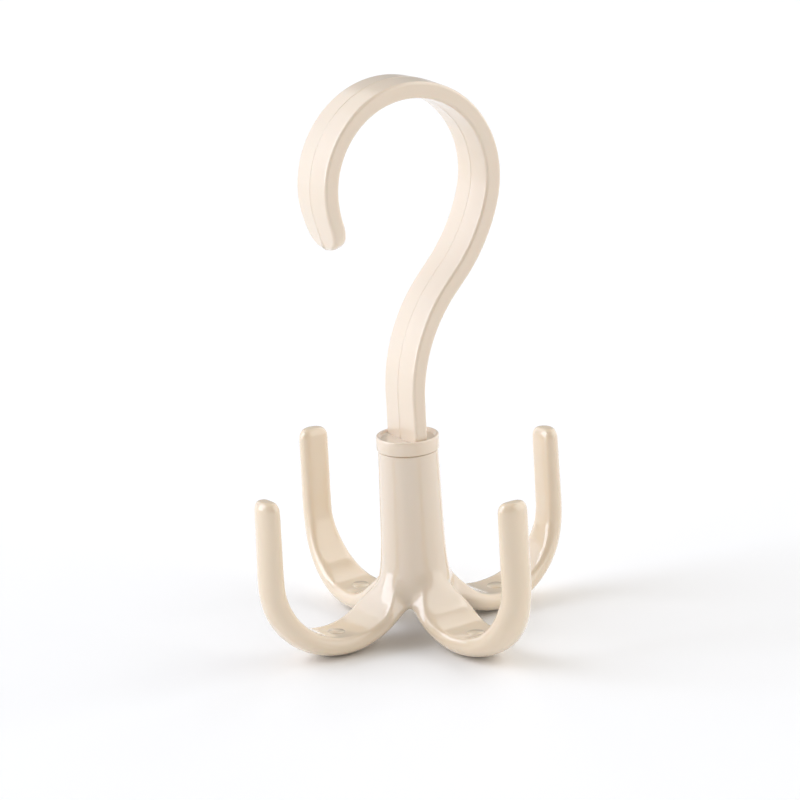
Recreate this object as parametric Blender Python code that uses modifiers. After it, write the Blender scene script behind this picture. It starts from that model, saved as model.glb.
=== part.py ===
"""A multi-claw hook: a band that hooks over a rail turns on the hub of four J-shaped claws.

Two mouldings. The upper one is the band, the collar under it and a pivot pin with a split snap head.
The lower one is the hub and its claws. The pin hangs in the hub's stepped bore and turns there.
The origin is on the swivel axis, level with the lowest point of the claws. +Z points up.
"""
import math

import bmesh
import bpy
from mathutils import Matrix, Vector

MM = 0.001

# Hub
HUB_HEIGHT = 56.9 * MM
HUB_TOP_RADIUS = 9.0 * MM
HUB_DRAFT_ANGLE = math.radians(1.3)
HUB_FOOT_HEIGHT = 25.9 * MM
VAULT_HEIGHT = 14.0 * MM
WEB_THICKNESS = 5.0 * MM

# Claws: the centre line is a chain of arcs that touch, and ends in a straight upright
CLAW_COUNT = 4
CLAW_START_REACH = 13.3 * MM
CLAW_START_ANGLE = math.radians(-40.0)
CLAW_ROOT_RADIUS = 23.4 * MM
CLAW_ROOT_TURN = math.radians(27.1)
CLAW_BELLY_RADIUS = 23.3 * MM
CLAW_BELLY_TURN = math.radians(93.0)
CLAW_RISE_RADIUS = 27.4 * MM
CLAW_RISE_TURN = math.radians(10.8)
CLAW_UPRIGHT_LENGTH = 24.6 * MM
CLAW_ROOT_WIDTH = 18.2 * MM
CLAW_BELLY_WIDTH = 15.8 * MM
CLAW_UPRIGHT_WIDTH = 9.2 * MM
CLAW_TIP_WIDTH = 9.4 * MM
CLAW_ROOT_THICKNESS = 5.9 * MM
CLAW_BELLY_THICKNESS = 6.7 * MM
CLAW_UPRIGHT_THICKNESS = 6.3 * MM
CLAW_TIP_THICKNESS = 5.6 * MM
CLAW_TIP_ROUNDING = 3.4 * MM
FLARE_GROWTH = 0.6 * MM
FLARE_SIDE_GROWTH = 0.3 * MM
CROTCH_REACH = 11.5 * MM
CROTCH_HEIGHT = 10.5 * MM
GROIN_REACH = 6.4 * MM

# Collar and pivot
SWIVEL_GAP = 0.3 * MM
COLLAR_OVERHANG = 0.35 * MM
COLLAR_HEIGHT = 4.2 * MM
COLLAR_EDGE = 0.4 * MM
DISH_DEPTH = 0.9 * MM
RIM_WIDTH = 0.8 * MM
PIN_RADIUS = 3.3 * MM
RUNNING_GAP = 0.3 * MM
SNAP_OVERLAP = 1.0 * MM
SNAP_SHOULDER = 0.8 * MM
SNAP_HEAD_LENGTH = 5.5 * MM
SNAP_NOSE_RADIUS = 2.2 * MM
SNAP_SLOT_WIDTH = 2.0 * MM
SNAP_SLOT_DEPTH = 9.0 * MM
CAVITY_CLEARANCE = 1.4 * MM

# Band: the centre line is a chain too, turning right first and then left over the top
BAND_FOOT_LENGTH = 12.2 * MM
BAND_LEAN_RADIUS = 46.7 * MM
BAND_LEAN_TURN = math.radians(43.8)
BAND_NECK_LENGTH = 5.2 * MM
BAND_NECK_RADIUS = 51.1 * MM
BAND_NECK_TURN = math.radians(26.9)
BAND_BACK_RADIUS = 28.5 * MM
BAND_BACK_TURN = math.radians(115.9)
BAND_FRONT_RADIUS = 26.9 * MM
BAND_FRONT_TURN = math.radians(97.0)
BAND_LIP_LENGTH = 9.9 * MM
BAND_WIDTH = 16.0 * MM
BAND_FOOT_THICKNESS = 4.3 * MM
BAND_NECK_THICKNESS = 5.1 * MM
BAND_CROWN_THICKNESS = 4.9 * MM
BAND_LIP_THICKNESS = 4.7 * MM
BAND_RIDGE = 0.3 * MM
BAND_EDGE_RADIUS = 0.9 * MM
BAND_END_ROUNDING = 7.8 * MM
BAND_TIP_ROUNDING = 1.9 * MM
HOOK_TURN = math.radians(-2.7)

# Meshing
CUT_OVERRUN = 8.0 * MM
MERGE_DISTANCE = 0.01 * MM
ROUND_SEGMENTS = 32
CLAW_RING_STEP = 5.2 * MM
BAND_RING_STEP = 3.6 * MM

# One ring of the claws' cage, from the middle of the flat inner face round to the belly, as shares
# of half the width and half the thickness
RING_SHARES = ((0.0, 1.0), (0.92, 1.02), (1.1, 0.0), (0.7, -0.8), (0.0, -1.1))
FLAT_EDGE_CREASE = 0.55
TIP_RING_SHARES = ((0.55, 0.94), (0.92, 0.75))
TIP_CAP_SHARE = 0.40
# Where the hub's rings sit, from its foot up to its top
HUB_RING_SHARES = (0.9, 0.6, 0.3, 0.0)
FLARE_SHARE = 0.55
FLARE_SIDE_SHARE = 0.89
GROIN_SHARE = 0.5
# Steps of a quarter turn
CORNER_SHARES = (0.0, 0.5, 1.0)
END_SHARES = (0.17, 0.33, 0.5, 0.67, 0.83, 0.93)


def walk(start, angle, legs, step):
    """Follow straight legs (length, 0) and arcs (radius, turn): points, headings and path lengths."""
    points, angles, lengths = [start], [angle], [0.0]
    for size, turn in legs:
        length = size * abs(turn) if turn else size
        count = max(1, round(length / step))
        for _ in range(count):
            bend = turn / count
            chord = 2 * size * math.sin(abs(bend) / 2) if turn else size / count
            heading = angles[-1] + bend / 2
            points.append(points[-1] + chord * Vector((math.cos(heading), math.sin(heading))))
            angles.append(angles[-1] + bend)
            lengths.append(lengths[-1] + length / count)
    return points, angles, lengths


def sample(places, values, place):
    """Straight-line interpolation of values given at rising places."""
    for index in range(1, len(places)):
        if place <= places[index]:
            share = (place - places[index - 1]) / (places[index] - places[index - 1])
            return values[index - 1] + share * (values[index] - values[index - 1])
    return values[-1]


def hub_radius(height):
    return HUB_TOP_RADIUS + (HUB_HEIGHT - height) * math.tan(HUB_DRAFT_ANGLE)


def plastic(name, colour, roughness):
    material = bpy.data.materials.new(name)
    material.use_nodes = True
    shader = material.node_tree.nodes["Principled BSDF"]
    shader.inputs["Base Color"].default_value = (*colour, 1.0)
    shader.inputs["Roughness"].default_value = roughness
    shader.inputs["Metallic"].default_value = 0.0
    return material


def link_object(name, mesh, collection, material=None):
    part = bpy.data.objects.new(name, mesh)
    collection.objects.link(part)
    if material:
        part.data.materials.append(material)
    return part


def turned(name, profile, collection, segments=ROUND_SEGMENTS):
    """A round solid: the profile runs down its outer side and starts and ends on the axis."""
    mesh = bpy.data.meshes.new(name)
    points = [(radius, 0.0, height) for radius, height in profile]
    mesh.from_pydata(points, [(i, i + 1) for i in range(len(points) - 1)], [])
    part = link_object(name, mesh, collection)
    screw = part.modifiers.new("turn", "SCREW")
    screw.steps = segments
    screw.render_steps = segments
    screw.use_merge_vertices = True
    screw.merge_threshold = MERGE_DISTANCE
    screw.use_normal_calculate = False
    return part


def cut_or_join(part, other, operation):
    modifier = part.modifiers.new(other.name, "BOOLEAN")
    modifier.operation = operation
    modifier.solver = "EXACT"
    modifier.object = other


def mark_as_cutter(part):
    part.hide_render = True
    part.display_type = "WIRE"


def claw_rings():
    """Rings of one claw that points along +X, in order from the root to the tip."""
    legs = (
        (CLAW_ROOT_RADIUS, CLAW_ROOT_TURN),
        (CLAW_BELLY_RADIUS, CLAW_BELLY_TURN),
        (CLAW_RISE_RADIUS, CLAW_RISE_TURN),
        (CLAW_UPRIGHT_LENGTH - CLAW_TIP_ROUNDING, 0.0),
    )
    start = Vector((CLAW_START_REACH, 0.0))
    points, angles, lengths = walk(start, CLAW_START_ANGLE, legs, CLAW_RING_STEP)
    lowest = min(range(len(points)), key=lambda i: points[i].y)
    full_length = lengths[-1] + CLAW_TIP_ROUNDING
    upright = CLAW_ROOT_RADIUS * CLAW_ROOT_TURN + CLAW_BELLY_RADIUS * CLAW_BELLY_TURN
    places = (0.0, lengths[lowest], upright, full_length)
    widths = (CLAW_ROOT_WIDTH, CLAW_BELLY_WIDTH, CLAW_UPRIGHT_WIDTH, CLAW_TIP_WIDTH)
    depths = (CLAW_ROOT_THICKNESS, CLAW_BELLY_THICKNESS, CLAW_UPRIGHT_THICKNESS, CLAW_TIP_THICKNESS)
    lift = CLAW_BELLY_THICKNESS / 2 - points[lowest].y

    stations = [(points[i], angles[i], lengths[i], 1.0) for i in range(len(points))]
    forward = Vector((math.cos(angles[-1]), math.sin(angles[-1])))
    for along_share, size_share in TIP_RING_SHARES:
        along = along_share * CLAW_TIP_ROUNDING
        stations.append((points[-1] + along * forward, angles[-1], lengths[-1] + along, size_share))
    end = points[-1] + CLAW_TIP_ROUNDING * forward
    stations.append((end, angles[-1], full_length, TIP_CAP_SHARE))

    rings = []
    for point, angle, length, size_share in stations:
        half_width = size_share * sample(places, widths, length) / 2
        half_depth = size_share * sample(places, depths, length) / 2
        inward = Vector((-math.sin(angle), math.cos(angle)))
        ring = []
        for width_share, depth_share in RING_SHARES:
            place = point + depth_share * half_depth * inward
            ring.append(Vector((place.x, width_share * half_width, place.y + lift)))
        mirrored = [Vector((p.x, -p.y, p.z)) for p in reversed(ring[1:-1])]
        rings.append(ring + mirrored)
    return sharpen(rings), Vector((end.x, 0.0, end.y + lift))


def sharpen(rings):
    """Push the cage out along the path, so that the smoothed surface passes through the rings."""
    moved = [list(ring) for ring in rings]
    for index in range(1, len(rings) - 3):
        for i, place in enumerate(rings[index]):
            bend = rings[index - 1][i] - 2 * place + rings[index + 1][i]
            moved[index][i] = place - bend / 6
    return moved


def claw_cage():
    """A cage of quads for the hub and its claws, to be smoothed by subdivision."""
    cage = bmesh.new()
    crease = cage.edges.layers.float.new("crease_edge")
    spacing = 2 * math.pi / CLAW_COUNT
    quarter = spacing / 4
    # A smoothed ring of 4 points a claw lies inside its cage by this share
    cage_share = 6 / (4 + 2 * math.cos(quarter))
    rings, tip = claw_rings()
    root = rings[0]
    flare_height = root[0].z + FLARE_SHARE * (HUB_FOOT_HEIGHT - root[0].z)

    def polar(radius, angle, height):
        return cage.verts.new((radius * math.cos(angle), radius * math.sin(angle), height))

    levels = [HUB_HEIGHT + CUT_OVERRUN, HUB_HEIGHT + CUT_OVERRUN / 2]
    straight = HUB_HEIGHT - HUB_FOOT_HEIGHT
    levels += [HUB_FOOT_HEIGHT + straight * share for share in HUB_RING_SHARES]
    hub = []
    for height in levels:
        radius = hub_radius(height) * cage_share
        hub.append([polar(radius, i * quarter, height) for i in range(4 * CLAW_COUNT)])
    top = polar(0.0, 0.0, levels[0])
    foot = []
    for i in range(4 * CLAW_COUNT):
        if i % 4 == 2:
            foot.append(polar(CROTCH_REACH, i * quarter, CROTCH_HEIGHT))
            continue
        height_share, growth = (1.0, FLARE_GROWTH) if i % 4 == 0 else (FLARE_SIDE_SHARE, FLARE_SIDE_GROWTH)
        radius = (hub_radius(flare_height) + growth) * cage_share
        foot.append(polar(radius, i * quarter, flare_height * height_share))
    hub.append(foot)
    vault = polar(0.0, 0.0, VAULT_HEIGHT)
    groins = []
    for claw in range(CLAW_COUNT):
        angle = claw * spacing + spacing / 2
        groins.append(polar(GROIN_REACH, angle, CROTCH_HEIGHT + GROIN_SHARE * (VAULT_HEIGHT - CROTCH_HEIGHT)))

    count = 4 * CLAW_COUNT
    for i in range(count):
        following = (i + 1) % count
        for upper, lower in zip(hub, hub[1:]):
            cage.faces.new((upper[i], lower[i], lower[following], upper[following]))
    for i in range(0, count, 2):
        cage.faces.new((top, hub[0][i], hub[0][(i + 1) % count], hub[0][(i + 2) % count]))

    for claw in range(CLAW_COUNT):
        turn = Matrix.Rotation(claw * spacing, 3, "Z")
        placed = [[cage.verts.new(turn @ place) for place in ring] for ring in rings]
        flat, edge_a, crotch_a, crotch_b, edge_b = (foot[(4 * claw + i) % count] for i in (0, 1, 2, -2, -1))
        groin_a, groin_b = groins[claw], groins[claw - 1]
        first = placed[0]
        cage.faces.new((flat, first[0], first[1], edge_a))
        cage.faces.new((edge_a, first[1], first[2], crotch_a))
        cage.faces.new((crotch_a, first[2], first[3], groin_a))
        cage.faces.new((groin_a, first[3], first[4], vault))
        cage.faces.new((vault, first[4], first[5], groin_b))
        cage.faces.new((groin_b, first[5], first[6], crotch_b))
        cage.faces.new((crotch_b, first[6], first[7], edge_b))
        cage.faces.new((edge_b, first[7], first[0], flat))
        for near, far in zip(placed, placed[1:]):
            for i in range(8):
                cage.faces.new((near[i], far[i], far[(i + 1) % 8], near[(i + 1) % 8]))
            for i in (1, 7):
                cage.edges.get((near[i], far[i]))[crease] = FLAT_EDGE_CREASE
        last = placed[-1]
        cap = cage.verts.new(turn @ tip)
        for i in (1, 3, 5, 7):
            cage.faces.new((cap, last[i], last[(i + 1) % 8], last[(i + 2) % 8]))
    bmesh.ops.recalc_face_normals(cage, faces=cage.faces)
    mesh = bpy.data.meshes.new("claw_body")
    cage.to_mesh(mesh)
    cage.free()
    mesh.shade_smooth()
    return mesh


def bore_profile():
    """The stepped bore, from a wide flange over the hub's top down through the cavity."""
    flange = 2 * HUB_TOP_RADIUS
    top = HUB_HEIGHT + 2 * CUT_OVERRUN
    hole = PIN_RADIUS + RUNNING_GAP
    cavity = hole + SNAP_OVERLAP + CAVITY_CLEARANCE - RUNNING_GAP
    web = HUB_HEIGHT - WEB_THICKNESS
    return ((0.0, top), (flange, top), (flange, HUB_HEIGHT), (hole, HUB_HEIGHT), (hole, web), (cavity, web),
            (cavity, 0.0), (0.0, 0.0))


def build_claw_body(parts, cutters, material):
    body = link_object("claw_body", claw_cage(), parts, material)
    smooth = body.modifiers.new("smooth", "SUBSURF")
    smooth.levels = 1
    smooth.render_levels = 1
    bore = turned("bore", bore_profile(), cutters)
    mark_as_cutter(bore)
    cut_or_join(body, bore, "DIFFERENCE")
    return body


def pivot_profile():
    """Collar, pin and snap head as one turned outline, down from the dished top."""
    collar = HUB_TOP_RADIUS + COLLAR_OVERHANG
    bottom = HUB_HEIGHT + SWIVEL_GAP
    top = bottom + COLLAR_HEIGHT
    shoulder = HUB_HEIGHT - WEB_THICKNESS - RUNNING_GAP
    head = PIN_RADIUS + SNAP_OVERLAP
    nose = shoulder - SNAP_HEAD_LENGTH
    return (
        (0.0, top - DISH_DEPTH),
        (collar - RIM_WIDTH - DISH_DEPTH / 2, top - DISH_DEPTH),
        (collar - RIM_WIDTH, top),
        (collar - COLLAR_EDGE, top),
        (collar, top - COLLAR_EDGE),
        (collar, bottom),
        (PIN_RADIUS, bottom),
        (PIN_RADIUS, shoulder),
        (head, shoulder),
        (head, shoulder - SNAP_SHOULDER),
        (SNAP_NOSE_RADIUS, nose),
        (0.0, nose),
    )


def band_section(half_width, half_depth, ridge, edge):
    """The band's outline across: wide faces that rise to a ridge in the middle, and rounded edges."""
    corner = []
    for share in CORNER_SHARES:
        angle = share * math.pi / 2
        corner.append((half_width - edge + edge * math.cos(angle), half_depth - edge + edge * math.sin(angle)))
    upper = corner + [(0.0, half_depth + ridge)] + [(-x, y) for x, y in reversed(corner)]
    return upper + [(-x, -y) for x, y in upper]


def round_off(size, rounding, left):
    """A size that shrinks along a quarter circle over the last stretch of a length."""
    if left >= rounding:
        return size
    return size - 2 * (rounding - math.sqrt(rounding**2 - (rounding - left)**2))


def band_mesh():
    legs = (
        (BAND_FOOT_LENGTH, 0.0),
        (BAND_LEAN_RADIUS, -BAND_LEAN_TURN),
        (BAND_NECK_LENGTH, 0.0),
        (BAND_NECK_RADIUS, BAND_NECK_TURN),
        (BAND_BACK_RADIUS, BAND_BACK_TURN),
        (BAND_FRONT_RADIUS, BAND_FRONT_TURN),
        (BAND_LIP_LENGTH - BAND_END_ROUNDING, 0.0),
    )
    floor = HUB_HEIGHT + SWIVEL_GAP + COLLAR_HEIGHT - DISH_DEPTH
    # The foot is rooted in the collar by half of what is left of it under the dish
    root = (COLLAR_HEIGHT - DISH_DEPTH) / 2
    points, angles, lengths = walk(Vector((0.0, floor)), math.pi / 2, legs, BAND_RING_STEP)
    stations = [(Vector((0.0, floor - root)), math.pi / 2, 0.0)]
    stations += list(zip(points, angles, lengths))[1:]
    full_length = lengths[-1] + BAND_END_ROUNDING
    forward = Vector((math.cos(angles[-1]), math.sin(angles[-1])))
    for share in END_SHARES:
        along = BAND_END_ROUNDING * math.sin(share * math.pi / 2)
        stations.append((points[-1] + along * forward, angles[-1], lengths[-1] + along))
    neck = BAND_FOOT_LENGTH + BAND_LEAN_RADIUS * BAND_LEAN_TURN + BAND_NECK_LENGTH
    crown = neck + BAND_NECK_RADIUS * BAND_NECK_TURN + BAND_BACK_RADIUS * BAND_BACK_TURN
    places = (0.0, neck, crown, full_length)
    depths = (BAND_FOOT_THICKNESS, BAND_NECK_THICKNESS, BAND_CROWN_THICKNESS, BAND_LIP_THICKNESS)

    shape = bmesh.new()
    rings = []
    for point, angle, length in stations:
        left = full_length - length
        width = round_off(BAND_WIDTH, min(BAND_END_ROUNDING, BAND_WIDTH / 2), left)
        depth = round_off(sample(places, depths, length), BAND_TIP_ROUNDING, left)
        edge = min(BAND_EDGE_RADIUS, depth / 3)
        outward = Vector((math.sin(angle), -math.cos(angle)))
        ring = []
        for across, out in band_section(width / 2, depth / 2, BAND_RIDGE, edge):
            place = point + out * outward
            ring.append(shape.verts.new((place.x, across, place.y)))
        rings.append(ring)
    count = len(rings[0])
    for near, far in zip(rings, rings[1:]):
        for i in range(count):
            shape.faces.new((near[i], near[(i + 1) % count], far[(i + 1) % count], far[i]))
    shape.faces.new(rings[0])
    shape.faces.new(rings[-1])
    bmesh.ops.recalc_face_normals(shape, faces=shape.faces)
    mesh = bpy.data.meshes.new("band")
    shape.to_mesh(mesh)
    shape.free()
    return mesh


def build_swivel_hook(parts, cutters, material):
    pivot = bpy.data.objects.new("swivel_axis", None)
    parts.objects.link(pivot)
    pivot.rotation_euler.z = HOOK_TURN
    hook = turned("swivel_hook", pivot_profile(), parts)
    hook.data.materials.append(material)
    band = link_object("band", band_mesh(), cutters)
    slot_mesh = bpy.data.meshes.new("slot")
    slot_shape = bmesh.new()
    bmesh.ops.create_cube(slot_shape, size=1.0)
    nose = HUB_HEIGHT - WEB_THICKNESS - RUNNING_GAP - SNAP_HEAD_LENGTH
    size = Vector((4 * PIN_RADIUS, SNAP_SLOT_WIDTH, 2 * SNAP_SLOT_DEPTH))
    bmesh.ops.scale(slot_shape, vec=size, verts=slot_shape.verts)
    bmesh.ops.translate(slot_shape, vec=(0.0, 0.0, nose), verts=slot_shape.verts)
    slot_shape.to_mesh(slot_mesh)
    slot_shape.free()
    slot = link_object("slot", slot_mesh, cutters)
    for part in (hook, band, slot):
        part.parent = pivot
    for part in (band, slot):
        mark_as_cutter(part)
    cut_or_join(hook, band, "UNION")
    cut_or_join(hook, slot, "DIFFERENCE")
    return hook


def main():
    for old in list(bpy.data.objects):
        bpy.data.objects.remove(old, do_unlink=True)
    parts = bpy.data.collections.new("multi_claw_hook")
    cutters = bpy.data.collections.new("cutters")
    bpy.context.scene.collection.children.link(parts)
    bpy.context.scene.collection.children.link(cutters)
    build_claw_body(parts, cutters, plastic("claw_plastic", (0.80, 0.69, 0.54), 0.16))
    build_swivel_hook(parts, cutters, plastic("hook_plastic", (0.82, 0.71, 0.56), 0.16))


main()
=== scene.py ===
# %% [markdown]
# # A swivel hook with four claws
#
# The real object is a plastic hook for a wardrobe rail. A flat band is bent into an open hook, and stands on
# a round collar. Under the collar a hub spreads into four claws that curve up again, for belts and straps.
# Band and collar are one moulding, hub and claws are the other, and a hidden pin lets them turn.
#
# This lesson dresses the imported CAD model. It starts with the frame: every body of the model is loaded, and
# each piece that is made below rides on one of them.

# %% The frame
import math

import bmesh
import bpy
from mathutils import Matrix, Vector
from mathutils.bvhtree import BVHTree


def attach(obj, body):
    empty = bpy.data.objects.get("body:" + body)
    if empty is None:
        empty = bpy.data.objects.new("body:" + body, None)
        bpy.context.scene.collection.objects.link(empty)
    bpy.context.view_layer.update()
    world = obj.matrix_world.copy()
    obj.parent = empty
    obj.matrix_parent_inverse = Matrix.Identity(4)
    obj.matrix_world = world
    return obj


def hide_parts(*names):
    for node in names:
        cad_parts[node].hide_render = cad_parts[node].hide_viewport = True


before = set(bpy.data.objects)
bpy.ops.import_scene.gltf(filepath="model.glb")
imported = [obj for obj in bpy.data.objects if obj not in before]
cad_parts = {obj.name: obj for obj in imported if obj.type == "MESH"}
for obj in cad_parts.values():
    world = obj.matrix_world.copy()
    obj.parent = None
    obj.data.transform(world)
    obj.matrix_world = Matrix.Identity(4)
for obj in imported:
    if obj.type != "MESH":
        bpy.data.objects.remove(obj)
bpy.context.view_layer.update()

# %% [markdown]
# ## The camera
#
# The object is photographed from a little above, with a long lens, and leans by three degrees in the picture.
# The camera is placed by its angles round the point it aims at. That keeps the numbers readable, and it
# leaves the lens shift at zero.

# %% Camera
MM = 0.001
CAMERA_AIM = Vector((-1.33, 0.92, 72.09)) * MM
CAMERA_AZIMUTH = math.radians(-34.63)
CAMERA_ELEVATION = math.radians(16.50)
CAMERA_ROLL = math.radians(-3.14)
CAMERA_DISTANCE = 1144.5 * MM
CAMERA_LENS = 174.28

scene = bpy.context.scene


def direction(azimuth, elevation):
    """Unit vector from the object towards a viewer at these angles."""
    across = math.cos(elevation)
    return Vector((math.sin(azimuth) * across, -math.cos(azimuth) * across, math.sin(elevation)))


def looking_at(target, azimuth, elevation, distance, roll=0.0):
    """World matrix of a camera or lamp that looks at the target from these angles."""
    back = direction(azimuth, elevation)
    turn = back.to_track_quat("Z", "Y").to_matrix().to_4x4()
    return Matrix.Translation(target + distance * back) @ turn @ Matrix.Rotation(roll, 4, "Z")


camera = bpy.data.objects.new("camera", bpy.data.cameras.new("camera"))
scene.collection.objects.link(camera)
camera.matrix_world = looking_at(CAMERA_AIM, CAMERA_AZIMUTH, CAMERA_ELEVATION, CAMERA_DISTANCE, CAMERA_ROLL)
camera.data.lens = CAMERA_LENS
scene.camera = camera
print("camera at", [round(value, 3) for value in camera.location])

# %% [markdown]
# ## Helpers for nodes
#
# Materials and Geometry Nodes are both trees of nodes. One helper adds a node to either kind, makes its
# settings, and sets or links its inputs by their names. Two more do the same for a step of arithmetic on
# numbers or vectors, whose inputs have no names worth giving, and hand on its result. That keeps most nodes
# to one readable line.

# %% Node helpers


def put(tree, value, socket):
    """Link the socket where the value is another node's output, and set it otherwise."""
    if isinstance(value, bpy.types.NodeSocket):
        tree.links.new(value, socket)
    else:
        socket.default_value = value


def add(tree, kind, settings=(), **values):
    """A node with its settings, and its inputs set or linked by name."""
    node = tree.nodes.new(kind)
    for key, value in dict(settings).items():
        setattr(node, key, value)
    for key, value in values.items():
        put(tree, value, node.inputs[key.replace("_", " ")])
    return node


def number(tree, operation, *values):
    """The result of arithmetic on numbers, with its inputs in their order."""
    return arithmetic(tree, "ShaderNodeMath", operation, values)


def vector(tree, operation, *values):
    """The result of arithmetic on vectors, with its inputs in their order."""
    return arithmetic(tree, "ShaderNodeVectorMath", operation, values)


def arithmetic(tree, kind, operation, values):
    node = add(tree, kind, {"operation": operation})
    used = [socket for socket in node.inputs if socket.enabled]
    for value, socket in zip(values, used):
        put(tree, value, socket)
    return next(socket for socket in node.outputs if socket.enabled)


# %% [markdown]
# ## The plastic
#
# Both mouldings are the same glossy cream plastic. A good plastic is more than a colour: light enters it a
# little, which softens the shadows and warms them, the tone drifts slightly over the piece, and the polished
# surface still has a fine ripple from the mould. The slim claws look warmer than the thick hub, because light
# passes through them; that warmth is painted into their tone, which changes with the distance from the swivel
# axis. All patterns read Object coordinates, because the finished pieces sit at the origin.

# %% Plastic
# Two tones each. On the claws' moulding the first is for the thick hub, and the second for the slim claws,
# warmer with painted glow of light through them
CLAW_CREAM_AND_GLOW = ((0.745, 0.635, 0.515, 1.0), (0.785, 0.642, 0.468, 1.0))
HOOK_CREAM = ((0.775, 0.66, 0.53, 1.0), (0.785, 0.65, 0.505, 1.0))
PLASTIC_IOR = 1.65
COAT_WEIGHT = 1.0
CLAW_ROUGHNESS = 0.17
CLAW_COAT_ROUGHNESS = 0.10
HOOK_ROUGHNESS = 0.28
HOOK_COAT_ROUGHNESS = 0.22
SCATTER_WEIGHT = 0.12
SCATTER_DEPTH = 2.0 * MM
SCATTER_SHARES = (1.0, 0.55, 0.30)
DRIFT_PER_METRE = 28.0
DRIFT_DETAIL = 3.0
DRIFT_SHARE = 0.3
# Where the painted glow of the slim claws begins, and where it is full
GLOW_START_REACH = 10.0 * MM
GLOW_FULL_REACH = 26.0 * MM
RIPPLE_PER_METRE = 150.0
RIPPLE_DETAIL = 2.0
RIPPLE_HEIGHT = 0.02 * MM
RIPPLE_STRENGTH = 0.5


def painted_glow_share(tree, place, glow_reach):
    """How far a point lies from the swivel axis, as a soft share from one reach to the other: the painted
    glow's mask.
    """
    level = vector(tree, "MULTIPLY", place, (1.0, 1.0, 0.0))
    nearest, farthest = glow_reach
    share = add(
        tree, "ShaderNodeMapRange", {"interpolation_type": "SMOOTHSTEP"},
        Value=vector(tree, "LENGTH", level), From_Min=nearest, From_Max=farthest,
    )
    return share.outputs["Result"]


def plastic(name, tones, roughness, coat_roughness, glow_reach=None):
    """Glossy plastic that drifts between two tones, and can go from one to the other over a reach, as painted
    glow.
    """
    material = bpy.data.materials.new(name)
    material.use_nodes = True
    tree = material.node_tree
    shader = tree.nodes["Principled BSDF"]
    place = add(tree, "ShaderNodeTexCoord").outputs["Object"]

    drift = add(tree, "ShaderNodeTexNoise", Vector=place, Scale=DRIFT_PER_METRE, Detail=DRIFT_DETAIL)
    share = drift.outputs["Fac"]
    # Painted glow: the tone warms away from the axis, and stands in for light through the slim claws
    if glow_reach:
        painted_glow = painted_glow_share(tree, place, glow_reach)
        share = add(tree, "ShaderNodeMix", Factor=DRIFT_SHARE, A=painted_glow, B=share).outputs["Result"]
    tone = add(tree, "ShaderNodeMix", {"data_type": "RGBA"}, Factor=share, A=tones[0], B=tones[1])
    tree.links.new(tone.outputs["Result"], shader.inputs["Base Color"])

    ripple = add(tree, "ShaderNodeTexNoise", Vector=place, Scale=RIPPLE_PER_METRE, Detail=RIPPLE_DETAIL)
    bump = add(
        tree, "ShaderNodeBump",
        Height=ripple.outputs["Fac"], Distance=RIPPLE_HEIGHT, Strength=RIPPLE_STRENGTH,
    )
    tree.links.new(bump.outputs["Normal"], shader.inputs["Normal"])

    shader.inputs["Roughness"].default_value = roughness
    shader.inputs["IOR"].default_value = PLASTIC_IOR
    shader.inputs["Coat Weight"].default_value = COAT_WEIGHT
    shader.inputs["Coat Roughness"].default_value = coat_roughness
    shader.inputs["Subsurface Weight"].default_value = SCATTER_WEIGHT
    shader.inputs["Subsurface Radius"].default_value = SCATTER_SHARES
    shader.inputs["Subsurface Scale"].default_value = SCATTER_DEPTH
    return material


claw_plastic = plastic(
    "claw plastic", CLAW_CREAM_AND_GLOW, CLAW_ROUGHNESS, CLAW_COAT_ROUGHNESS, (GLOW_START_REACH, GLOW_FULL_REACH),
)
hook_plastic = plastic("hook plastic", HOOK_CREAM, HOOK_ROUGHNESS, HOOK_COAT_ROUGHNESS)
print("materials:", claw_plastic.name, "and", hook_plastic.name)

# %% [markdown]
# ## Helpers for Geometry Nodes
#
# Two helpers serve the trees that make shapes. One starts a tree with named inputs. The other puts the tree
# on an object as a modifier, sets its inputs by the sockets' identifiers, and turns the result into a plain
# mesh. A third makes a piece of that mesh and says which body carries it. What is round starts as an outline
# that a fourth helper turns about the Z axis.

# %% Helpers


def new_tree(name, sizes):
    """A geometry tree with a Geometry input and one input for each (name, socket type)."""
    tree = bpy.data.node_groups.new(name, "GeometryNodeTree")
    tree.interface.new_socket("Geometry", in_out="INPUT", socket_type="NodeSocketGeometry")
    for label, kind in sizes:
        tree.interface.new_socket(label, in_out="INPUT", socket_type=kind)
    tree.interface.new_socket("Geometry", in_out="OUTPUT", socket_type="NodeSocketGeometry")
    return tree, tree.nodes.new("NodeGroupInput"), tree.nodes.new("NodeGroupOutput")


def grow(name, source, tree, values, body, node):
    """Run a tree on a mesh, keep the result as a plain mesh, and let it stand for the CAD node."""
    carrier = bpy.data.objects.new(name + " source", source)
    scene.collection.objects.link(carrier)
    modifier = carrier.modifiers.new("nodes", "NODES")
    modifier.node_group = tree
    for item in tree.interface.items_tree:
        if item.in_out == "INPUT" and item.name in values:
            modifier[item.identifier] = values[item.name]
    depsgraph = bpy.context.evaluated_depsgraph_get()
    mesh = bpy.data.meshes.new_from_object(carrier.evaluated_get(depsgraph))
    bpy.data.objects.remove(carrier)
    return piece_from(name, mesh, body, node)


def piece_from(name, mesh, body, node):
    """A finished piece at the origin that rides on a body and stands for a CAD node."""
    mesh.name = name
    piece = bpy.data.objects.new(name, mesh)
    scene.collection.objects.link(piece)
    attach(piece, body)
    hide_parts(node)
    print(name, "has", len(mesh.polygons), "faces")
    return piece


# %% Turned shapes
SAME_POINT = 0.001 * MM


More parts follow.
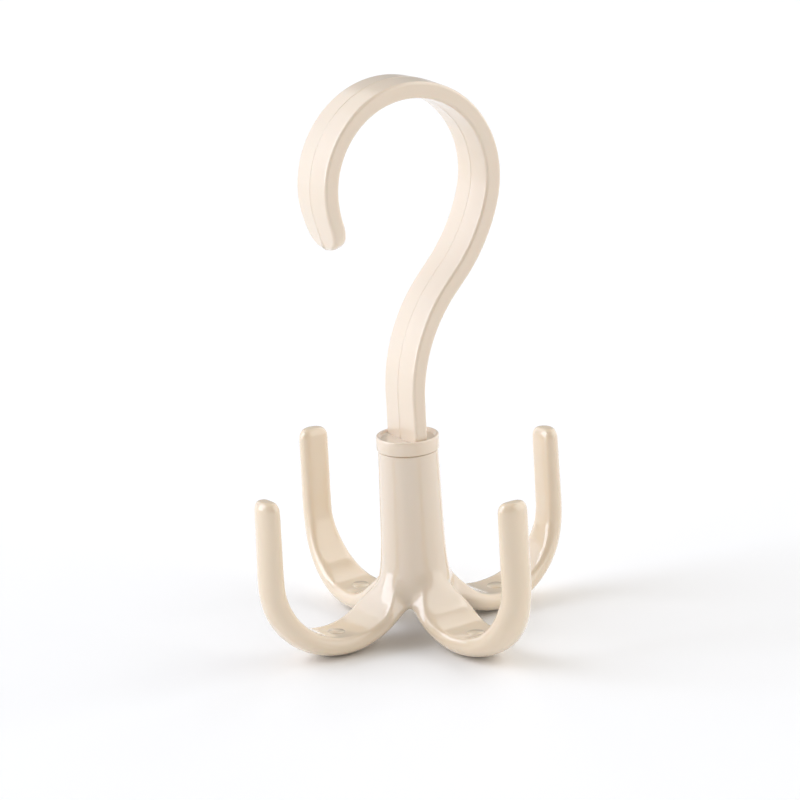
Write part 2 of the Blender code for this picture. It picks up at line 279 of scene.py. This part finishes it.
def turned_mesh(name, outline, steps):
    """Turn an outline of (radius, height), listed downwards on its outer side, about the Z axis."""
    shape = bmesh.new()
    points = [shape.verts.new((radius, 0.0, height)) for radius, height in outline]
    edges = [shape.edges.new(pair) for pair in zip(points, points[1:])]
    bmesh.ops.spin(
        shape, geom=points + edges, cent=(0.0, 0.0, 0.0), axis=(0.0, 0.0, 1.0),
        angle=2 * math.pi, steps=steps, use_merge=True,
    )
    bmesh.ops.remove_doubles(shape, verts=shape.verts, dist=SAME_POINT)
    bmesh.ops.recalc_face_normals(shape, faces=shape.faces)
    mesh = bpy.data.meshes.new(name)
    shape.to_mesh(mesh)
    shape.free()
    mesh.shade_smooth()
    return mesh


# %% [markdown]
# ## One quarter of the hub and claws
#
# Hub and claws are one smooth moulding, so they are made from one coarse cage that subdivision rounds off.
# The object repeats every quarter turn, and so only a quarter is built: a sector of the hub with one
# claw. The claw's centre line is a chain of arcs that touch. Its section is a D: the inner side, where a
# strap lies, is flat with clear edges, and the outer side is round. The flat's edges are marked with an
# attribute, which later keeps them firm under subdivision.

# %% Centre lines


def leg_length(leg):
    size, turn = leg
    return size * abs(turn) if turn else size


def walk(start, angle, legs, step):
    """Follow straight legs (length, 0) and arcs (radius, turn): points, headings and path lengths."""
    points, angles, lengths = [start], [angle], [0.0]
    for leg in legs:
        size, turn = leg
        length = leg_length(leg)
        count = max(1, round(length / step))
        for _ in range(count):
            bend = turn / count
            chord = 2 * size * math.sin(abs(bend) / 2) if turn else size / count
            heading = angles[-1] + bend / 2
            points.append(points[-1] + chord * Vector((math.cos(heading), math.sin(heading))))
            angles.append(angles[-1] + bend)
            lengths.append(lengths[-1] + length / count)
    return points, angles, lengths


def between(places, values, place):
    """Straight-line interpolation of values given at rising places."""
    for index in range(1, len(places)):
        if place <= places[index]:
            share = (place - places[index - 1]) / (places[index] - places[index - 1])
            return values[index - 1] + share * (values[index] - values[index - 1])
    return values[-1]


# %% Sizes of the hub and claws
HUB_HEIGHT = 56.9 * MM
HUB_TOP_RADIUS = 9.0 * MM
HUB_DRAFT_ANGLE = math.radians(1.3)
HUB_FOOT_HEIGHT = 25.9 * MM
HUB_EDGE = 0.5 * MM
CLAW_COUNT = 4
CLAW_START_REACH = 13.3 * MM
CLAW_START_ANGLE = math.radians(-40.0)
# Arcs of the centre line, as (radius, turn)
CLAW_ROOT = (23.4 * MM, math.radians(27.1))
CLAW_BELLY = (23.3 * MM, math.radians(93.0))
CLAW_RISE = (27.4 * MM, math.radians(10.8))
CLAW_UPRIGHT = 24.6 * MM
# At the root, at the lowest point, where the belly ends, and at the tip
CLAW_WIDTHS = (18.2 * MM, 15.8 * MM, 9.2 * MM, 9.4 * MM)
CLAW_THICKNESSES = (5.9 * MM, 6.7 * MM, 6.3 * MM, 5.6 * MM)
FLAT_EDGE_CREASES = (0.40, 0.50, 0.20, 0.10)
ROOT_EDGE_CREASE = 0.5
CLAW_TIP_ROUNDING = 3.4 * MM
CLAW_RING_STEP = 5.2 * MM
FLARE_GROWTH = 0.6 * MM
FLARE_SIDE_GROWTH = 0.3 * MM
CROTCH_REACH = 11.5 * MM
CROTCH_HEIGHT = 10.7 * MM
VAULT_REACH = 6.8 * MM
VAULT_HEIGHT = 11.8 * MM
BORE_RADIUS = 3.6 * MM
CAVITY_RADIUS = 5.7 * MM
WEB_THICKNESS = 5.0 * MM
# Half of the D, as shares of the half width and, inwards, of the half thickness
RING_SHARES = ((0.0, 1.0), (0.92, 1.02), (1.1, 0.0), (0.7, -0.8), (0.0, -1.1))
# Rings that close the tip, as shares of its rounding and of the full size
TIP_RING_SHARES = ((0.55, 0.94), (0.92, 0.75), (1.0, 0.40))
HUB_RING_SHARES = (0.9, 0.6, 0.3, 0.0)
OUTER_COLUMNS = 4
INNER_COLUMNS = 2
FLARE_SHARE = 0.55
FLARE_SIDE_SHARE = 0.89


def hub_radius(height):
    return HUB_TOP_RADIUS + (HUB_HEIGHT - height) * math.tan(HUB_DRAFT_ANGLE)


def ring_growth(count):
    """How much larger than the smoothed ring its cage has to be: smoothing weighs neighbours 1, 4, 1."""
    return 6 / (4 + 2 * math.cos(2 * math.pi / count))


OUTER_GROWTH = ring_growth(OUTER_COLUMNS * CLAW_COUNT)
INNER_GROWTH = ring_growth(INNER_COLUMNS * CLAW_COUNT)
print("cage against smoothed hub:", round(OUTER_GROWTH, 3), "outside,", round(INNER_GROWTH, 3), "in the bore")

# %% Rings of one claw


def claw_stations():
    """Places along the claw that get a ring, as (point, heading, path length, share of full size)."""
    legs = (CLAW_ROOT, CLAW_BELLY, CLAW_RISE, (CLAW_UPRIGHT - CLAW_TIP_ROUNDING, 0.0))
    start = Vector((CLAW_START_REACH, 0.0))
    points, angles, lengths = walk(start, CLAW_START_ANGLE, legs, CLAW_RING_STEP)
    stations = [(point, angle, length, 1.0) for point, angle, length in zip(points, angles, lengths)]
    forward = Vector((math.cos(angles[-1]), math.sin(angles[-1])))
    for along_share, size_share in TIP_RING_SHARES:
        along = along_share * CLAW_TIP_ROUNDING
        stations.append((points[-1] + along * forward, angles[-1], lengths[-1] + along, size_share))
    return stations


def claw_section(point, angle, half_width, half_depth):
    """A D-shaped ring across the claw: its corners on one side, and the same mirrored on the other."""
    inward = Vector((-math.sin(angle), math.cos(angle)))
    side = []
    for width_share, depth_share in RING_SHARES:
        place = point + depth_share * half_depth * inward
        side.append(Vector((place.x, width_share * half_width, place.y)))
    return side + [Vector((p.x, -p.y, p.z)) for p in reversed(side[1:-1])]


def claw_rings():
    """The claw along +X: rings from root to tip, how firm each ring's flat edge is, and the tip's point."""
    stations = claw_stations()
    end, _, full_length, _ = stations[-1]
    lowest, _, lowest_length, _ = min(stations, key=lambda station: station[0].y)
    upright = leg_length(CLAW_ROOT) + leg_length(CLAW_BELLY)
    places = (0.0, lowest_length, upright, full_length)
    lift = Vector((0.0, CLAW_THICKNESSES[1] / 2 - lowest.y))
    rings, firmness = [], []
    for point, angle, length, share in stations:
        half_width = share * between(places, CLAW_WIDTHS, length) / 2
        half_depth = share * between(places, CLAW_THICKNESSES, length) / 2
        rings.append(claw_section(point + lift, angle, half_width, half_depth))
        firmness.append(between(places, FLAT_EDGE_CREASES, length))
    tip = end + lift
    return pushed_out(rings), firmness, Vector((tip.x, 0.0, tip.y))


def pushed_out(rings):
    """Smoothing cuts corners along the path too: all but the end rings move away from their neighbours."""
    moved = [list(ring) for ring in rings]
    for index in range(1, len(rings) - len(TIP_RING_SHARES)):
        for i, place in enumerate(rings[index]):
            bend = rings[index - 1][i] - 2 * place + rings[index + 1][i]
            moved[index][i] = place - bend / 6
    return moved


claw_cage, claw_firmness, claw_tip = claw_rings()
print("one claw:", len(claw_cage), "rings, tip at", [round(value / MM, 1) for value in claw_tip], "mm")

# %% The hub's quarter


def cage_ring(cage, radius, height, angles):
    return [cage.verts.new((radius * math.cos(angle), radius * math.sin(angle), height)) for angle in angles]


def cage_skin(cage, upper, lower):
    for i in range(len(upper) - 1):
        cage.faces.new((upper[i], lower[i], lower[i + 1], upper[i + 1]))


def hub_foot(cage, columns, flare_height):
    """The hub's lowest ring: high and a little wider over the claw, low in the crotches beside it."""
    side = (FLARE_SIDE_SHARE * flare_height, FLARE_SIDE_GROWTH)
    foot = cage_ring(cage, CROTCH_REACH, CROTCH_HEIGHT, columns[:1])
    for angle, (height, growth) in zip(columns[1:-1], (side, (flare_height, FLARE_GROWTH), side)):
        foot += cage_ring(cage, OUTER_GROWTH * (hub_radius(flare_height) + growth), height, [angle])
    return foot + cage_ring(cage, CROTCH_REACH, CROTCH_HEIGHT, columns[-1:])


def hub_outside(cage, columns, flare_height):
    """The hub's outside, from just inside its top edge down to its foot: the top ring and the foot."""
    profile = [
        (HUB_TOP_RADIUS - HUB_EDGE, HUB_HEIGHT), (HUB_TOP_RADIUS, HUB_HEIGHT),
        (HUB_TOP_RADIUS, HUB_HEIGHT - HUB_EDGE),
    ]
    for share in HUB_RING_SHARES:
        height = HUB_FOOT_HEIGHT + share * (HUB_HEIGHT - HUB_FOOT_HEIGHT)
        profile.append((hub_radius(height), height))
    outside = [cage_ring(cage, OUTER_GROWTH * radius, height, columns) for radius, height in profile]
    outside.append(hub_foot(cage, columns, flare_height))
    for upper, lower in zip(outside, outside[1:]):
        cage_skin(cage, upper, lower)
    return outside[0], outside[-1]


def hub_inside(cage, columns, top_ring):
    """The bore, the wider cavity under its web, and the rim of the hole under the hub, which is returned."""
    web = HUB_HEIGHT - WEB_THICKNESS
    profile = [
        (BORE_RADIUS, HUB_HEIGHT), (BORE_RADIUS, web), ((BORE_RADIUS + CAVITY_RADIUS) / 2, web),
        (CAVITY_RADIUS, web - HUB_EDGE), (CAVITY_RADIUS, VAULT_HEIGHT + 2 * HUB_EDGE),
        (CAVITY_RADIUS, VAULT_HEIGHT + HUB_EDGE), (VAULT_REACH, VAULT_HEIGHT),
    ]
    inside = [cage_ring(cage, INNER_GROWTH * radius, height, columns[::2]) for radius, height in profile]
    for lower, upper in zip(inside, inside[1:]):
        cage_skin(cage, upper, lower)
    for i in range(INNER_COLUMNS):
        rim = top_ring[2 * i:2 * i + 3]
        cage.faces.new((inside[0][i], *rim, inside[0][i + 1]))
    return inside[-1]


# %% The claw and the whole quarter


def claw_skin(cage, firm, rings, firmness, tip):
    """Faces from ring to ring, with firm edges along the flat, and a cap on the tip."""
    around = len(rings[0])
    for near, painted_glow, firmness_here in zip(rings, rings[1:], firmness):
        for i in range(around):
            after = (i + 1) % around
            cage.faces.new((near[i], painted_glow[i], painted_glow[after], near[after]))
        for i in (1, around - 1):
            cage.edges.get((near[i], painted_glow[i]))[firm] = firmness_here
    last = rings[-1]
    cap = cage.verts.new(tip)
    for i in range(1, around, 2):
        cage.faces.new((cap, last[i], last[(i + 1) % around], last[(i + 2) % around]))


def quarter_cage():
    cage = bmesh.new()
    firm = cage.edges.layers.float.new("firm_edge")
    spacing = 2 * math.pi / CLAW_COUNT
    columns = [(i / OUTER_COLUMNS - 0.5) * spacing for i in range(OUTER_COLUMNS + 1)]
    root = claw_cage[0][0].z
    top_ring, foot = hub_outside(cage, columns, root + FLARE_SHARE * (HUB_FOOT_HEIGHT - root))
    hole_rim = hub_inside(cage, columns, top_ring)
    # The claw starts at an opening in the hub: its first ring runs over the foot and the hole's rim
    crotch_b, edge_b, flat, edge_a, crotch_a = foot
    hole_b, hole, hole_a = hole_rim
    opening = [flat, edge_a, crotch_a, hole_a, hole, hole_b, crotch_b, edge_b]
    placed = [[cage.verts.new(place) for place in places] for places in claw_cage]
    claw_skin(cage, firm, [opening] + placed, [ROOT_EDGE_CREASE] + claw_firmness, claw_tip)
    bmesh.ops.recalc_face_normals(cage, faces=cage.faces)
    mesh = bpy.data.meshes.new("claw quarter")
    cage.to_mesh(mesh)
    cage.free()
    return mesh


quarter = quarter_cage()
print("quarter cage:", len(quarter.vertices), "vertices,", len(quarter.polygons), "faces")

# %% [markdown]
# ## Four quarters make the moulding
#
# Geometry Nodes repeat the quarter. It is instanced on a ring of points, each turned to its place, realized,
# welded where the quarters meet, and only then subdivided, so that the surface runs smoothly across the
# seams. The alternative, four mirrored objects, would leave creases at the welds.

# %% Tree of the claws


def repeated_round_axis(tree, start):
    """The tree's geometry, Count times round the Z axis, as real mesh."""
    points = add(tree, "GeometryNodePoints", Count=start.outputs["Count"])
    index = add(tree, "GeometryNodeInputIndex")
    step = number(tree, "DIVIDE", 2 * math.pi, start.outputs["Count"])
    angle = number(tree, "MULTIPLY", index.outputs["Index"], step)
    turn = add(tree, "ShaderNodeCombineXYZ", Z=angle)
    copies = add(
        tree, "GeometryNodeInstanceOnPoints",
        Points=points.outputs[0], Instance=start.outputs["Geometry"], Rotation=turn.outputs[0],
    )
    return add(tree, "GeometryNodeRealizeInstances", Geometry=copies.outputs[0]).outputs[0]


def finish_tree(tree, geometry, start, end):
    """The same last two steps for every tree: Realize Instances and Set Material."""
    real = add(tree, "GeometryNodeRealizeInstances", Geometry=geometry)
    coated = add(
        tree, "GeometryNodeSetMaterial", Geometry=real.outputs[0], Material=start.outputs["Material"],
    )
    tree.links.new(coated.outputs[0], end.inputs[0])
    return tree


def claw_tree():
    sizes = [("Count", "NodeSocketInt"), ("Level", "NodeSocketInt"), ("Weld", "NodeSocketFloat")]
    sizes.append(("Material", "NodeSocketMaterial"))
    tree, start, end = new_tree("claws round a hub", sizes)
    real = repeated_round_axis(tree, start)
    welded = add(tree, "GeometryNodeMergeByDistance", Geometry=real, Distance=start.outputs["Weld"])
    firm = add(tree, "GeometryNodeInputNamedAttribute", {"data_type": "FLOAT"}, Name="firm_edge")
    smooth = add(
        tree, "GeometryNodeSubdivisionSurface",
        Mesh=welded.outputs[0], Level=start.outputs["Level"], Edge_Crease=firm.outputs["Attribute"],
    )
    shaded = add(tree, "GeometryNodeSetShadeSmooth", Geometry=smooth.outputs[0])
    return finish_tree(tree, shaded.outputs[0], start, end)


SMOOTHING_LEVEL = 3
WELD_DISTANCE = 0.01 * MM
claws = grow(
    "claws", quarter, claw_tree(),
    {"Count": CLAW_COUNT, "Level": SMOOTHING_LEVEL, "Weld": WELD_DISTANCE, "Material": claw_plastic},
    "claws", "claw_body",
)

# %% [markdown]
# ## Ejector marks
#
# Where the mould's ejector pins pushed the moulding out, each claw has a round mark on its floor, a little
# raised. A ray from above finds the floor and its slope, a thin disc is laid there, and the same repeating
# nodes as before copy it to every claw.

# %% Ejector marks
MARK_REACH = 29.5 * MM
MARK_RADIUS = 2.6 * MM
MARK_RAISE = 0.2 * MM
MARK_SINK = 0.8 * MM
MARK_EDGE = 0.1 * MM
MARK_STEPS = 48


def ejector_mark():
    surface = BVHTree.FromPolygons(
        [vertex.co for vertex in claws.data.vertices], [face.vertices for face in claws.data.polygons],
    )
    above = Vector((MARK_REACH, 0.0, HUB_FOOT_HEIGHT))
    place, normal, _, _ = surface.ray_cast(above, Vector((0.0, 0.0, -1.0)))
    outline = [
        (0.0, MARK_RAISE), (MARK_RADIUS - MARK_EDGE, MARK_RAISE), (MARK_RADIUS, MARK_RAISE - MARK_EDGE),
        (MARK_RADIUS, -MARK_SINK), (0.0, -MARK_SINK),
    ]
    mesh = turned_mesh("mark", outline, MARK_STEPS)
    mesh.transform(Matrix.Translation(place) @ normal.to_track_quat("Z", "Y").to_matrix().to_4x4())
    return mesh


def mark_tree():
    sizes = [("Count", "NodeSocketInt"), ("Material", "NodeSocketMaterial")]
    tree, start, end = new_tree("marks round a hub", sizes)
    return finish_tree(tree, repeated_round_axis(tree, start), start, end)


grow(
    "marks", ejector_mark(), mark_tree(), {"Count": CLAW_COUNT, "Material": claw_plastic},
    "claws", "claw_body",
)

# %% [markdown]
# ## The band
#
# The band is a flat strip bent along a chain of arcs: up from the collar, to the right, and then round to
# the left over the rail. It is first laid out straight, with its real thickness, its slightly raised middle,
# its rounded edges and its rounded end. A tree of nodes then bends it: each point asks the path for the place
# and the direction at its own distance along it.

# %% Sizes of the band
SWIVEL_GAP = 0.3 * MM
COLLAR_OVERHANG = 0.35 * MM
COLLAR_HEIGHT = 4.2 * MM
DISH_DEPTH = 0.9 * MM
# Legs of the path, as (length, 0) or (radius, turn)
BAND_LEGS = (
    (12.2 * MM, 0.0),
    (46.7 * MM, math.radians(-43.8)),
    (5.2 * MM, 0.0),
    (51.1 * MM, math.radians(26.9)),
    (28.5 * MM, math.radians(115.9)),
    (26.9 * MM, math.radians(97.0)),
    (9.9 * MM, 0.0),
)
NECK_LEGS = 3
CROWN_LEGS = 5
BAND_WIDTH = 16.0 * MM
# At the collar, at the end of the neck, on the crown, and at the end
BAND_THICKNESSES = (4.3 * MM, 5.1 * MM, 4.9 * MM, 4.7 * MM)
BAND_RIDGE = 0.3 * MM
BAND_EDGE_RADIUS = 0.9 * MM
BAND_END_EDGE_RADIUS = 1.8 * MM
BAND_EDGE_LIMIT = 0.46
BAND_END_ROUNDING = 7.8 * MM
BAND_TIP_ROUNDING = 1.9 * MM
BAND_STEP = 0.8 * MM
BAND_END_STEPS = 14
SIDE_SHARES = (0.0, 0.6, 0.94)
CORNER_SHARES = (0.0, 0.2, 0.4, 0.6, 0.8, 1.0)
ROOF_SHARES = (0.96, 0.75, 0.5, 0.25, 0.06)
PARTING_WIDTH = 0.36 * MM
PARTING_DEPTH = 0.22 * MM
PARTING_LIMIT = 0.05
# The groove, as shares of its half width and of its depth
PARTING_SHARES = ((1.4, 0.0), (0.8, 0.2), (0.0, 1.0))
PATH_STEP = 0.5 * MM
HOOK_TURN = math.radians(-2.7)

lengths = [leg_length(leg) for leg in BAND_LEGS]
STRIP_LENGTH = sum(lengths)
THICKNESS_PLACES = (0.0, sum(lengths[:NECK_LEGS]), sum(lengths[:CROWN_LEGS]), STRIP_LENGTH)
print("legs of the path:", [round(length / MM, 1) for length in lengths], "mm")

# %% The straight strip


def round_off(size, rounding, left):
    """A size that shrinks along a quarter circle over the last stretch of a length."""
    if left >= rounding:
        return size
    return size - 2 * (rounding - math.sqrt(max(0.0, rounding**2 - (rounding - left)**2)))


def band_section(half_width, half_depth, ridge, edge):
    """Outline across the band, as (across, out): gently roofed faces, rounded edges, a fine parting line."""
    flat = half_width - edge
    straight = half_depth - edge
    crest = half_depth + ridge
    quarter_outline = [(half_width, share * straight) for share in SIDE_SHARES]
    for share in CORNER_SHARES:
        angle = share * math.pi / 2
        quarter_outline.append((flat + edge * math.cos(angle), straight + edge * math.sin(angle)))
    quarter_outline += [(share * flat, half_depth + (1.0 - share) * ridge) for share in ROOF_SHARES]
    groove = min(PARTING_WIDTH / 2, PARTING_LIMIT * flat)
    quarter_outline += [(share * groove, crest - sunk * PARTING_DEPTH) for share, sunk in PARTING_SHARES]
    mirrored = [(-x, y) for x, y in reversed(quarter_outline[1:-1])]
    upper = quarter_outline + mirrored + [(-half_width, 0.0)]
    return upper + [(-x, -y) for x, y in upper[1:-1]]


def band_stations():
    """Places along the straight band where it gets a section, from inside the collar to the round end."""
    root = (COLLAR_HEIGHT - DISH_DEPTH) / 2
    even = STRIP_LENGTH - BAND_END_ROUNDING
    count = round(even / BAND_STEP)
    alongs = [-root] + [even * i / count for i in range(count + 1)]
    for i in range(1, BAND_END_STEPS):
        angle = i / BAND_END_STEPS * math.pi / 2
        alongs.append(STRIP_LENGTH - BAND_END_ROUNDING * (1 - math.sin(angle)))
    return alongs


def section_at(along):
    """The band's outline at a place: it narrows, thins and softens towards its end."""
    left = STRIP_LENGTH - along
    width = round_off(BAND_WIDTH, BAND_END_ROUNDING, left)
    thickness = between(THICKNESS_PLACES, BAND_THICKNESSES, max(0.0, along))
    depth = round_off(thickness, BAND_TIP_ROUNDING, left)
    near_end = max(0.0, 1.0 - left / (2 * BAND_END_ROUNDING))
    edge = BAND_EDGE_RADIUS + near_end * (BAND_END_EDGE_RADIUS - BAND_EDGE_RADIUS)
    return band_section(width / 2, depth / 2, BAND_RIDGE, min(edge, BAND_EDGE_LIMIT * depth))


def straight_band():
    strip = bmesh.new()
    rings = []
    for along in band_stations():
        rings.append([strip.verts.new((along, across, out)) for across, out in section_at(along)])
    around = len(rings[0])
    for near, painted_glow in zip(rings, rings[1:]):
        for i in range(around):
            strip.faces.new((near[i], near[(i + 1) % around], painted_glow[(i + 1) % around], painted_glow[i]))
    strip.faces.new(rings[0])
    strip.faces.new(rings[-1])
    bmesh.ops.recalc_face_normals(strip, faces=strip.faces)
    mesh = bpy.data.meshes.new("straight band")
    strip.to_mesh(mesh)
    strip.free()
    return mesh


strip_mesh = straight_band()
print("band laid straight:", round(STRIP_LENGTH / MM, 1), "mm long,", len(strip_mesh.polygons), "faces")

# %% The path that bends it


def path_curve(name, points):
    curve = bpy.data.curves.new(name, "CURVE")
    curve.dimensions = "3D"
    spline = curve.splines.new("POLY")
    spline.points.add(len(points) - 1)
    for target, place in zip(spline.points, points):
        target.co = (*place, 1.0)
    path = bpy.data.objects.new(name, curve)
    scene.collection.objects.link(path)
    return path


BAND_FLOOR = HUB_HEIGHT + SWIVEL_GAP + COLLAR_HEIGHT - DISH_DEPTH
band_points, _, _ = walk(Vector((0.0, BAND_FLOOR)), math.pi / 2, BAND_LEGS, PATH_STEP)
band_path = path_curve("band path", [(p.x, 0.0, p.y) for p in band_points])

# %% Tree that bends a strip along a path


def bend_tree():
    sizes = [("Path", "NodeSocketObject"), ("Turn", "NodeSocketFloat"), ("Material", "NodeSocketMaterial")]
    tree, start, end = new_tree("bend along a path", sizes)
    place = add(tree, "GeometryNodeInputPosition")
    split = add(tree, "ShaderNodeSeparateXYZ", Vector=place.outputs[0])
    path = add(tree, "GeometryNodeObjectInfo", Object=start.outputs["Path"])
    found = add(
        tree, "GeometryNodeSampleCurve", {"mode": "LENGTH", "use_all_curves": True},
        Curves=path.outputs["Geometry"], Length=split.outputs["X"],
    )
    side = vector(tree, "CROSS_PRODUCT", (0.0, 1.0, 0.0), found.outputs["Tangent"])
    out = vector(tree, "SCALE", vector(tree, "NORMALIZE", side), split.outputs["Z"])
    across = add(tree, "ShaderNodeCombineXYZ", Y=split.outputs["Y"])
    # What lies before the start of the path goes straight on from it
    before = number(tree, "MINIMUM", split.outputs["X"], 0.0)
    back = vector(tree, "SCALE", found.outputs["Tangent"], before)
    total = found.outputs["Position"]
    for term in (out, across.outputs[0], back):
        total = vector(tree, "ADD", total, term)
    turned = add(
        tree, "ShaderNodeVectorRotate", {"rotation_type": "Z_AXIS"},
        Vector=total, Angle=start.outputs["Turn"],
    )
    moved = add(
        tree, "GeometryNodeSetPosition",
        Geometry=start.outputs["Geometry"], Position=turned.outputs[0],
    )
    shaded = add(tree, "GeometryNodeSetShadeSmooth", Geometry=moved.outputs[0])
    return finish_tree(tree, shaded.outputs[0], start, end)


grow(
    "band", strip_mesh, bend_tree(),
    {"Path": band_path, "Turn": HOOK_TURN, "Material": hook_plastic},
    "hook", "swivel_hook",
)

# %% [markdown]
# ## The collar and the pivot pin
#
# The collar is a short round dish that the band stands in. Below it, hidden in the hub, a pin ends in a
# snap head. Everything here is round, so an outline is turned about the swivel axis. A tree then splits the
# snap head with a slot, whose width and depth are its inputs.

# %% Collar and pin
COLLAR_EDGE = 0.4 * MM
RIM_WIDTH = 0.8 * MM
PIN_RADIUS = 3.3 * MM
RUNNING_GAP = 0.3 * MM
SNAP_OVERLAP = 1.0 * MM
SNAP_SHOULDER = 0.8 * MM
SNAP_HEAD_LENGTH = 5.5 * MM
SNAP_NOSE_RADIUS = 2.2 * MM
SNAP_SLOT_WIDTH = 2.0 * MM
SNAP_SLOT_DEPTH = 9.0 * MM
TURN_STEPS = 96


def collar_outline():
    radius = HUB_TOP_RADIUS + COLLAR_OVERHANG
    bottom = HUB_HEIGHT + SWIVEL_GAP
    top = bottom + COLLAR_HEIGHT
    shoulder = HUB_HEIGHT - WEB_THICKNESS - RUNNING_GAP
    head = PIN_RADIUS + SNAP_OVERLAP
    nose = shoulder - SNAP_HEAD_LENGTH
    inner = radius - RIM_WIDTH
    floor = top - DISH_DEPTH
    return [
        (0.0, floor), (inner - DISH_DEPTH, floor), (inner - DISH_DEPTH / 2, floor + DISH_DEPTH / 8),
        (inner - DISH_DEPTH / 8, top - DISH_DEPTH / 4), (inner + COLLAR_EDGE / 4, top - COLLAR_EDGE / 8),
        (inner + COLLAR_EDGE / 2, top), (radius - COLLAR_EDGE, top),
        (radius - COLLAR_EDGE / 4, top - COLLAR_EDGE / 4), (radius, top - COLLAR_EDGE),
        (radius, bottom + COLLAR_EDGE / 2), (radius - COLLAR_EDGE / 4, bottom),
        (PIN_RADIUS, bottom), (PIN_RADIUS, shoulder), (head, shoulder), (head, shoulder - SNAP_SHOULDER),
        (SNAP_NOSE_RADIUS, nose), (0.0, nose),
    ]


# %% Tree that splits the snap head


def slot_tree():
    sizes = [(label, "NodeSocketVector") for label in ("Slot size", "Slot middle", "Turn")]
    sizes.append(("Material", "NodeSocketMaterial"))
    tree, start, end = new_tree("slot in a pin", sizes)
    block = add(tree, "GeometryNodeMeshCube", Size=start.outputs["Slot size"])
    placed = add(
        tree, "GeometryNodeTransform", Geometry=block.outputs["Mesh"],
        Translation=start.outputs["Slot middle"], Rotation=start.outputs["Turn"],
    )
    cut = add(tree, "GeometryNodeMeshBoolean", {"operation": "DIFFERENCE", "solver": "EXACT"})
    tree.links.new(start.outputs["Geometry"], cut.inputs["Mesh 1"])
    tree.links.new(placed.outputs[0], cut.inputs["Mesh 2"])
    return finish_tree(tree, cut.outputs["Mesh"], start, end)


snap_nose = HUB_HEIGHT - WEB_THICKNESS - RUNNING_GAP - SNAP_HEAD_LENGTH
grow(
    "collar", turned_mesh("collar outline", collar_outline(), TURN_STEPS), slot_tree(),
    {
        "Slot size": (4 * PIN_RADIUS, SNAP_SLOT_WIDTH, 2 * SNAP_SLOT_DEPTH),
        "Slot middle": (0.0, 0.0, snap_nose), "Turn": (0.0, 0.0, HOOK_TURN), "Material": hook_plastic,
    },
    "hook", "swivel_hook",
)

# %% [markdown]
# ## Floor and light
#
# The photograph is a bright studio shot on white. A large pale floor fills the background. A strong tall
# softbox on the left and a wide one on the right give the long reflections on the hub. The space between
# them, near the camera, has no lamp at all, and that draws the darker stripe down the hub's middle. The
# lamps on the left are a little cooler than the others, and a weak warm fill lights what they leave dark.

# %% Floor
FLOOR_SIZE = 40.0
FLOOR_WHITE = (0.95, 0.95, 0.95, 1.0)
FLOOR_ROUGHNESS = 0.9

corner = FLOOR_SIZE / 2
corners = [(-corner, -corner, 0.0), (corner, -corner, 0.0), (corner, corner, 0.0), (-corner, corner, 0.0)]
floor_mesh = bpy.data.meshes.new("floor")
floor_mesh.from_pydata(corners, [], [(0, 1, 2, 3)])
floor = bpy.data.objects.new("floor", floor_mesh)
scene.collection.objects.link(floor)
pale = bpy.data.materials.new("pale floor")
pale.use_nodes = True
pale.node_tree.nodes["Principled BSDF"].inputs["Base Color"].default_value = FLOOR_WHITE
pale.node_tree.nodes["Principled BSDF"].inputs["Roughness"].default_value = FLOOR_ROUGHNESS
floor_mesh.materials.append(pale)
print("floor:", FLOOR_SIZE, "metres wide")

# %% Lights
LIGHT_AIM = Vector((0.0, 0.0, 80.0)) * MM
LIGHT_DISTANCE = 4.8
STUDIO_FILL = 0.38
FILL_TINT = (1.03, 1.0, 0.96)


def softbox(name, azimuth, elevation, width, height, brightness, tint):
    """A lamp panel that faces the object: as bright at any size, so a larger one gets more power."""
    lamp = bpy.data.lights.new(name, "AREA")
    lamp.color = tint
    lamp.shape = "RECTANGLE"
    lamp.size = width
    lamp.size_y = height
    lamp.energy = brightness * math.pi * width * height
    box = bpy.data.objects.new(name, lamp)
    scene.collection.objects.link(box)
    place = looking_at(LIGHT_AIM, math.radians(azimuth), math.radians(elevation), LIGHT_DISTANCE)
    box.matrix_world = place


COOL = (0.93, 0.98, 1.09)
NEUTRAL = (1.0, 1.0, 1.0)
# Name, azimuth and elevation in degrees, width and height in metres, brightness, tint
SOFTBOXES = (
    ("left softbox", -121.6, 28.0, 3.4, 5.5, 2.85, COOL),
    ("left wing", -156.6, 28.0, 2.0, 5.5, 0.95, COOL),
    ("left inner wing", -89.6, 28.0, 1.5, 5.5, 0.65, NEUTRAL),
    ("right softbox", 47.4, 28.0, 5.2, 5.5, 1.42, NEUTRAL),
    ("back right softbox", 101.9, 28.0, 4.3, 5.5, 0.9, NEUTRAL),
    ("back left softbox", 175.4, 28.0, 2.1, 5.5, 0.7, NEUTRAL),
)
for row in SOFTBOXES:
    softbox(*row)

world = bpy.data.worlds.new("studio")
world.use_nodes = True
world.node_tree.nodes["Background"].inputs["Color"].default_value = (*FILL_TINT, 1.0)
world.node_tree.nodes["Background"].inputs["Strength"].default_value = STUDIO_FILL
scene.world = world
scene.view_settings.view_transform = "Standard"
print("lights:", [light.name for light in bpy.data.lights])

# %% [markdown]
# ## Finish
#
# The path has done its work and goes.

# %% Finish
bpy.data.objects.remove(band_path)
